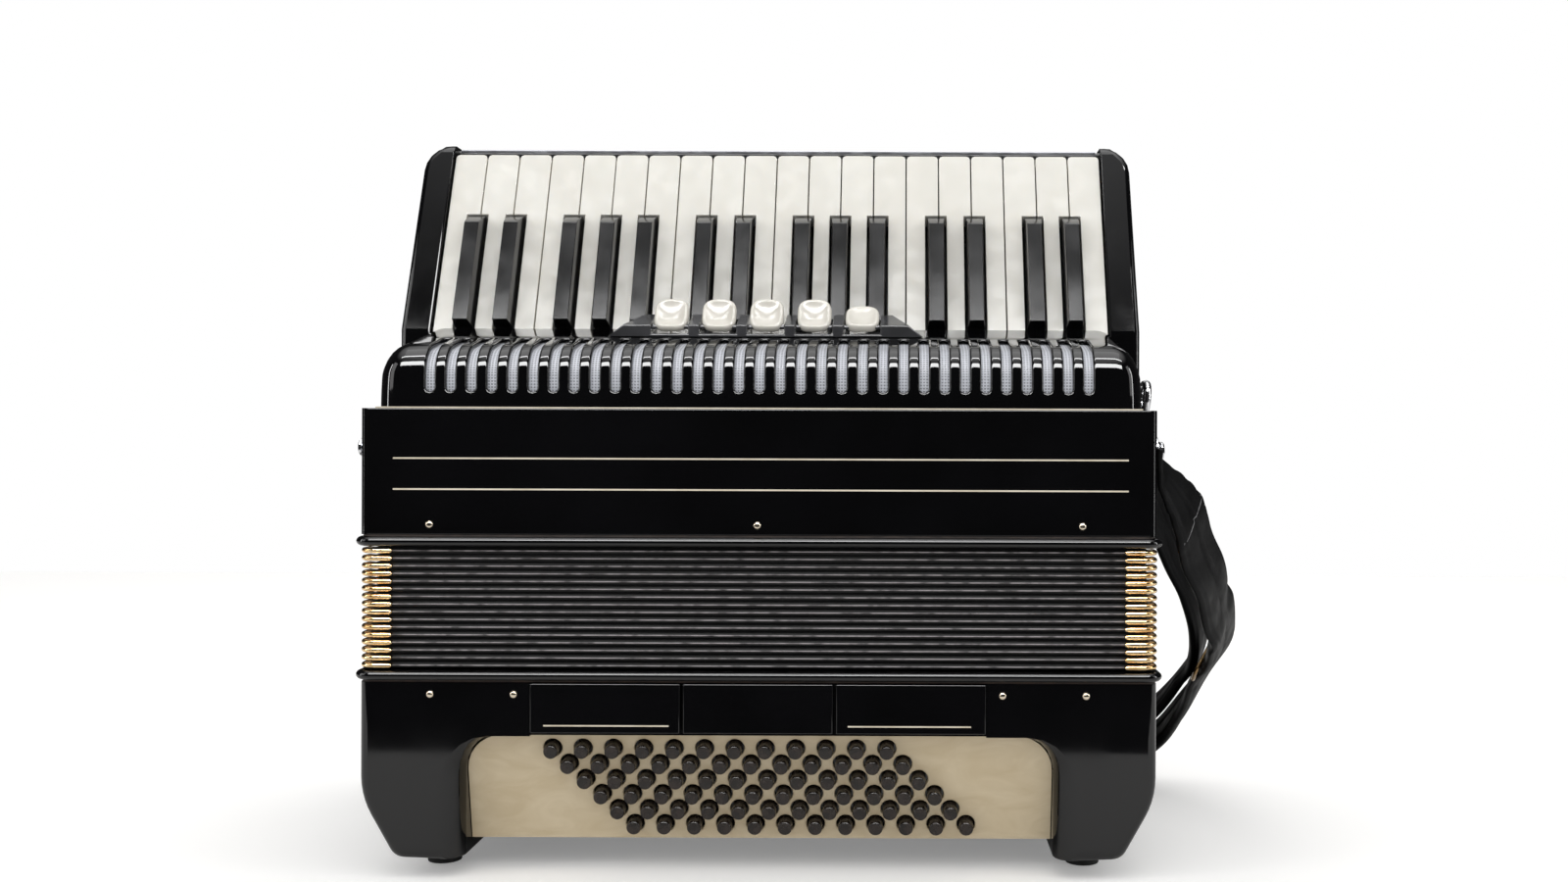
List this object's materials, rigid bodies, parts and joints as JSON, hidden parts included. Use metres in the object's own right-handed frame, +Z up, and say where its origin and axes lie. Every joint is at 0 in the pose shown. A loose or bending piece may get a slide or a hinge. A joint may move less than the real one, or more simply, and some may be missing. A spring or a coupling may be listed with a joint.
{
  "type": "piano accordion",
  "caption": "Piano accordion standing on its bass end, with sprung keys, rocking registers, a folding bellows, bass buttons, a hand strap and shoulder straps.",
  "frame": {"origin": "middle of the bounding box's bottom face, on the surface that the feet stand on", "axes": "+X along the keyboard towards the low notes, the front with the grille and buttons faces -Y, +Z up from the bass end to the treble end"},
  "size_m": [0.4926, 0.2342, 0.3799],
  "materials": {
    "black_lacquer": "black celluloid over plywood, polished",
    "black_frames": "black lacquered bead",
    "black_cover": "black enamel over pressed aluminium, polished",
    "ivory_plastic": "ivory-white moulded plastic, polished",
    "black_plastic": "black moulded plastic, polished",
    "cream_board": "satin pearl-cream sheet",
    "bellows_cloth": "black bellows cloth on card",
    "grille_gauze": "light grey woven gauze",
    "reed_wood": "plain spruce and beech",
    "strap_leather": "black padded imitation leather",
    "wheel_metal": "knurled, satin"
  },
  "bodies": {
    "bass_body": {"bass_case": "black_lacquer", "bass_button_board": "cream_board", "bass_mechanism": "black_plastic", "bass_back_cover": "black_lacquer", "hand_strap": "strap_leather", "bellows_frame_bass": "black_frames", "bellows": "bellows_cloth"},
    "treble_body": {"treble_case": "black_lacquer", "treble_reed_block": "reed_wood", "grille_cover": "black_cover", "grille_gauze": "grille_gauze", "register_housing": "black_plastic", "keyboard_frame": "black_lacquer", "bellows_frame_treble": "black_frames", "shoulder_strap_outer": "strap_leather", "shoulder_strap_inner": "strap_leather"},
    "white_key_01": {"white_key_01": "ivory_plastic"},
    "white_key_02": {"white_key_02": "ivory_plastic"},
    "white_key_03": {"white_key_03": "ivory_plastic"},
    "white_key_04": {"white_key_04": "ivory_plastic"},
    "white_key_05": {"white_key_05": "ivory_plastic"},
    "white_key_06": {"white_key_06": "ivory_plastic"},
    "white_key_07": {"white_key_07": "ivory_plastic"},
    "white_key_08": {"white_key_08": "ivory_plastic"},
    "white_key_09": {"white_key_09": "ivory_plastic"},
    "white_key_10": {"white_key_10": "ivory_plastic"},
    "white_key_11": {"white_key_11": "ivory_plastic"},
    "white_key_12": {"white_key_12": "ivory_plastic"},
    "white_key_13": {"white_key_13": "ivory_plastic"},
    "white_key_14": {"white_key_14": "ivory_plastic"},
    "white_key_15": {"white_key_15": "ivory_plastic"},
    "white_key_16": {"white_key_16": "ivory_plastic"},
    "white_key_17": {"white_key_17": "ivory_plastic"},
    "white_key_18": {"white_key_18": "ivory_plastic"},
    "white_key_19": {"white_key_19": "ivory_plastic"},
    "white_key_20": {"white_key_20": "ivory_plastic"},
    "black_key_01": {"black_key_01": "black_plastic"},
    "black_key_02": {"black_key_02": "black_plastic"},
    "black_key_03": {"black_key_03": "black_plastic"},
    "black_key_04": {"black_key_04": "black_plastic"},
    "black_key_05": {"black_key_05": "black_plastic"},
    "black_key_06": {"black_key_06": "black_plastic"},
    "black_key_07": {"black_key_07": "black_plastic"},
    "black_key_08": {"black_key_08": "black_plastic"},
    "black_key_09": {"black_key_09": "black_plastic"},
    "black_key_10": {"black_key_10": "black_plastic"},
    "black_key_11": {"black_key_11": "black_plastic"},
    "black_key_12": {"black_key_12": "black_plastic"},
    "black_key_13": {"black_key_13": "black_plastic"},
    "black_key_14": {"black_key_14": "black_plastic"},
    "register_tab_1": {"register_tab_1": "ivory_plastic"},
    "register_tab_2": {"register_tab_2": "ivory_plastic"},
    "register_tab_3": {"register_tab_3": "ivory_plastic"},
    "register_tab_4": {"register_tab_4": "ivory_plastic"},
    "register_tab_5": {"register_tab_5": "ivory_plastic"},
    "bass_register_1": {"bass_register_1": "black_plastic"},
    "bass_register_2": {"bass_register_2": "black_plastic"},
    "bass_register_3": {"bass_register_3": "black_plastic"},
    "air_button": {"air_button": "ivory_plastic"},
    "strap_adjuster_wheel": {"strap_adjuster_wheel": "wheel_metal"}
  },
  "joints": [
    {"name": "bellows_open", "type": "slide", "parent": "bass_body", "child": "treble_body", "axis": [0, 0, 1], "range_m": [0, 0.28], "deforming": ["bellows"]},
    {"name": "white_key_01_press", "type": "hinge", "parent": "treble_body", "child": "white_key_01", "pos_m": [-0.18525, -0.04824, 0.25344], "axis": [-1, 0, 0], "range_deg": [0, 2], "stiffness_Nm_per_rad": 0.25, "springref_deg": -22.92},
    {"name": "white_key_02_press", "type": "hinge", "parent": "treble_body", "child": "white_key_02", "pos_m": [-0.16725, -0.04824, 0.25344], "axis": [-1, 0, 0], "range_deg": [0, 2], "stiffness_Nm_per_rad": 0.25, "springref_deg": -22.92},
    {"name": "white_key_03_press", "type": "hinge", "parent": "treble_body", "child": "white_key_03", "pos_m": [-0.14925, -0.04824, 0.25344], "axis": [-1, 0, 0], "range_deg": [0, 2], "stiffness_Nm_per_rad": 0.25, "springref_deg": -22.92},
    {"name": "white_key_04_press", "type": "hinge", "parent": "treble_body", "child": "white_key_04", "pos_m": [-0.13125, -0.04824, 0.25344], "axis": [-1, 0, 0], "range_deg": [0, 2], "stiffness_Nm_per_rad": 0.25, "springref_deg": -22.92},
    {"name": "white_key_05_press", "type": "hinge", "parent": "treble_body", "child": "white_key_05", "pos_m": [-0.11325, -0.04824, 0.25344], "axis": [-1, 0, 0], "range_deg": [0, 2], "stiffness_Nm_per_rad": 0.25, "springref_deg": -22.92},
    {"name": "white_key_06_press", "type": "hinge", "parent": "treble_body", "child": "white_key_06", "pos_m": [-0.09525, -0.04824, 0.25344], "axis": [-1, 0, 0], "range_deg": [0, 2], "stiffness_Nm_per_rad": 0.25, "springref_deg": -22.92},
    {"name": "white_key_07_press", "type": "hinge", "parent": "treble_body", "child": "white_key_07", "pos_m": [-0.07725, -0.04824, 0.25344], "axis": [-1, 0, 0], "range_deg": [0, 2], "stiffness_Nm_per_rad": 0.25, "springref_deg": -22.92},
    {"name": "white_key_08_press", "type": "hinge", "parent": "treble_body", "child": "white_key_08", "pos_m": [-0.05925, -0.04824, 0.25344], "axis": [-1, 0, 0], "range_deg": [0, 2], "stiffness_Nm_per_rad": 0.25, "springref_deg": -22.92},
    {"name": "white_key_09_press", "type": "hinge", "parent": "treble_body", "child": "white_key_09", "pos_m": [-0.04125, -0.04824, 0.25344], "axis": [-1, 0, 0], "range_deg": [0, 2], "stiffness_Nm_per_rad": 0.25, "springref_deg": -22.92},
    {"name": "white_key_10_press", "type": "hinge", "parent": "treble_body", "child": "white_key_10", "pos_m": [-0.02325, -0.04824, 0.25344], "axis": [-1, 0, 0], "range_deg": [0, 2], "stiffness_Nm_per_rad": 0.25, "springref_deg": -22.92},
    {"name": "white_key_11_press", "type": "hinge", "parent": "treble_body", "child": "white_key_11", "pos_m": [-0.00525, -0.04824, 0.25344], "axis": [-1, 0, 0], "range_deg": [0, 2], "stiffness_Nm_per_rad": 0.25, "springref_deg": -22.92},
    {"name": "white_key_12_press", "type": "hinge", "parent": "treble_body", "child": "white_key_12", "pos_m": [0.01275, -0.04824, 0.25344], "axis": [-1, 0, 0], "range_deg": [0, 2], "stiffness_Nm_per_rad": 0.25, "springref_deg": -22.92},
    {"name": "white_key_13_press", "type": "hinge", "parent": "treble_body", "child": "white_key_13", "pos_m": [0.03075, -0.04824, 0.25344], "axis": [-1, 0, 0], "range_deg": [0, 2], "stiffness_Nm_per_rad": 0.25, "springref_deg": -22.92},
    {"name": "white_key_14_press", "type": "hinge", "parent": "treble_body", "child": "white_key_14", "pos_m": [0.04875, -0.04824, 0.25344], "axis": [-1, 0, 0], "range_deg": [0, 2], "stiffness_Nm_per_rad": 0.25, "springref_deg": -22.92},
    {"name": "white_key_15_press", "type": "hinge", "parent": "treble_body", "child": "white_key_15", "pos_m": [0.06675, -0.04824, 0.25344], "axis": [-1, 0, 0], "range_deg": [0, 2], "stiffness_Nm_per_rad": 0.25, "springref_deg": -22.92},
    {"name": "white_key_16_press", "type": "hinge", "parent": "treble_body", "child": "white_key_16", "pos_m": [0.08475, -0.04824, 0.25344], "axis": [-1, 0, 0], "range_deg": [0, 2], "stiffness_Nm_per_rad": 0.25, "springref_deg": -22.92},
    {"name": "white_key_17_press", "type": "hinge", "parent": "treble_body", "child": "white_key_17", "pos_m": [0.10275, -0.04824, 0.25344], "axis": [-1, 0, 0], "range_deg": [0, 2], "stiffness_Nm_per_rad": 0.25, "springref_deg": -22.92},
    {"name": "white_key_18_press", "type": "hinge", "parent": "treble_body", "child": "white_key_18", "pos_m": [0.12075, -0.04824, 0.25344], "axis": [-1, 0, 0], "range_deg": [0, 2], "stiffness_Nm_per_rad": 0.25, "springref_deg": -22.92},
    {"name": "white_key_19_press", "type": "hinge", "parent": "treble_body", "child": "white_key_19", "pos_m": [0.13875, -0.04824, 0.25344], "axis": [-1, 0, 0], "range_deg": [0, 2], "stiffness_Nm_per_rad": 0.25, "springref_deg": -22.92},
    {"name": "white_key_20_press", "type": "hinge", "parent": "treble_body", "child": "white_key_20", "pos_m": [0.15675, -0.04824, 0.25344], "axis": [-1, 0, 0], "range_deg": [0, 2], "stiffness_Nm_per_rad": 0.25, "springref_deg": -22.92},
    {"name": "black_key_01_press", "type": "hinge", "parent": "treble_body", "child": "black_key_01", "pos_m": [-0.17785, -0.04824, 0.25344], "axis": [-1, 0, 0], "range_deg": [0, 2], "stiffness_Nm_per_rad": 0.2, "springref_deg": -22.92},
    {"name": "black_key_02_press", "type": "hinge", "parent": "treble_body", "child": "black_key_02", "pos_m": [-0.15665, -0.04824, 0.25344], "axis": [-1, 0, 0], "range_deg": [0, 2], "stiffness_Nm_per_rad": 0.2, "springref_deg": -22.92},
    {"name": "black_key_03_press", "type": "hinge", "parent": "treble_body", "child": "black_key_03", "pos_m": [-0.12465, -0.04824, 0.25344], "axis": [-1, 0, 0], "range_deg": [0, 2], "stiffness_Nm_per_rad": 0.2, "springref_deg": -22.92},
    {"name": "black_key_04_press", "type": "hinge", "parent": "treble_body", "child": "black_key_04", "pos_m": [-0.10425, -0.04824, 0.25344], "axis": [-1, 0, 0], "range_deg": [0, 2], "stiffness_Nm_per_rad": 0.2, "springref_deg": -22.92},
    {"name": "black_key_05_press", "type": "hinge", "parent": "treble_body", "child": "black_key_05", "pos_m": [-0.08385, -0.04824, 0.25344], "axis": [-1, 0, 0], "range_deg": [0, 2], "stiffness_Nm_per_rad": 0.2, "springref_deg": -22.92},
    {"name": "black_key_06_press", "type": "hinge", "parent": "treble_body", "child": "black_key_06", "pos_m": [-0.05185, -0.04824, 0.25344], "axis": [-1, 0, 0], "range_deg": [0, 2], "stiffness_Nm_per_rad": 0.2, "springref_deg": -22.92},
    {"name": "black_key_07_press", "type": "hinge", "parent": "treble_body", "child": "black_key_07", "pos_m": [-0.03065, -0.04824, 0.25344], "axis": [-1, 0, 0], "range_deg": [0, 2], "stiffness_Nm_per_rad": 0.2, "springref_deg": -22.92},
    {"name": "black_key_08_press", "type": "hinge", "parent": "treble_body", "child": "black_key_08", "pos_m": [0.00135, -0.04824, 0.25344], "axis": [-1, 0, 0], "range_deg": [0, 2], "stiffness_Nm_per_rad": 0.2, "springref_deg": -22.92},
    {"name": "black_key_09_press", "type": "hinge", "parent": "treble_body", "child": "black_key_09", "pos_m": [0.02175, -0.04824, 0.25344], "axis": [-1, 0, 0], "range_deg": [0, 2], "stiffness_Nm_per_rad": 0.2, "springref_deg": -22.92},
    {"name": "black_key_10_press", "type": "hinge", "parent": "treble_body", "child": "black_key_10", "pos_m": [0.04215, -0.04824, 0.25344], "axis": [-1, 0, 0], "range_deg": [0, 2], "stiffness_Nm_per_rad": 0.2, "springref_deg": -22.92},
    {"name": "black_key_11_press", "type": "hinge", "parent": "treble_body", "child": "black_key_11", "pos_m": [0.07415, -0.04824, 0.25344], "axis": [-1, 0, 0], "range_deg": [0, 2], "stiffness_Nm_per_rad": 0.2, "springref_deg": -22.92},
    {"name": "black_key_12_press", "type": "hinge", "parent": "treble_body", "child": "black_key_12", "pos_m": [0.09535, -0.04824, 0.25344], "axis": [-1, 0, 0], "range_deg": [0, 2], "stiffness_Nm_per_rad": 0.2, "springref_deg": -22.92},
    {"name": "black_key_13_press", "type": "hinge", "parent": "treble_body", "child": "black_key_13", "pos_m": [0.12735, -0.04824, 0.25344], "axis": [-1, 0, 0], "range_deg": [0, 2], "stiffness_Nm_per_rad": 0.2, "springref_deg": -22.92},
    {"name": "black_key_14_press", "type": "hinge", "parent": "treble_body", "child": "black_key_14", "pos_m": [0.14775, -0.04824, 0.25344], "axis": [-1, 0, 0], "range_deg": [0, 2], "stiffness_Nm_per_rad": 0.2, "springref_deg": -22.92},
    {"name": "register_tab_1_rock", "type": "hinge", "parent": "treble_body", "child": "register_tab_1", "pos_m": [-0.06365, -0.07502, 0.27362], "axis": [-1, 0, 0], "range_deg": [0, 20]},
    {"name": "register_tab_2_rock", "type": "hinge", "parent": "treble_body", "child": "register_tab_2", "pos_m": [-0.03895, -0.07502, 0.27362], "axis": [-1, 0, 0], "range_deg": [0, 20]},
    {"name": "register_tab_3_rock", "type": "hinge", "parent": "treble_body", "child": "register_tab_3", "pos_m": [-0.01425, -0.07502, 0.27362], "axis": [-1, 0, 0], "range_deg": [0, 20]},
    {"name": "register_tab_4_rock", "type": "hinge", "parent": "treble_body", "child": "register_tab_4", "pos_m": [0.01045, -0.07502, 0.27362], "axis": [-1, 0, 0], "range_deg": [0, 20]},
    {"name": "register_tab_5_rock", "type": "hinge", "parent": "treble_body", "child": "register_tab_5", "pos_m": [0.03515, -0.07502, 0.27362], "axis": [-1, 0, 0], "range_deg": [-20, 0]},
    {"name": "bass_register_1_push", "type": "slide", "parent": "bass_body", "child": "bass_register_1", "axis": [0, 1, 0], "range_m": [0, 0.0022], "stiffness_N_per_m": 150, "springref_m": -0.006},
    {"name": "bass_register_2_push", "type": "slide", "parent": "bass_body", "child": "bass_register_2", "axis": [0, 1, 0], "range_m": [0, 0.0022], "stiffness_N_per_m": 150, "springref_m": -0.006},
    {"name": "bass_register_3_push", "type": "slide", "parent": "bass_body", "child": "bass_register_3", "axis": [0, 1, 0], "range_m": [0, 0.0022], "stiffness_N_per_m": 150, "springref_m": -0.006},
    {"name": "air_button_push", "type": "slide", "parent": "bass_body", "child": "air_button", "axis": [0, 0, 1], "range_m": [0, 0.004], "stiffness_N_per_m": 50, "springref_m": -0.008},
    {"name": "strap_adjuster_turn", "type": "hinge", "parent": "bass_body", "child": "strap_adjuster_wheel", "pos_m": [0.18475, 0.02048, 0.045], "axis": [1, 0, 0], "continuous": true}
  ]
}
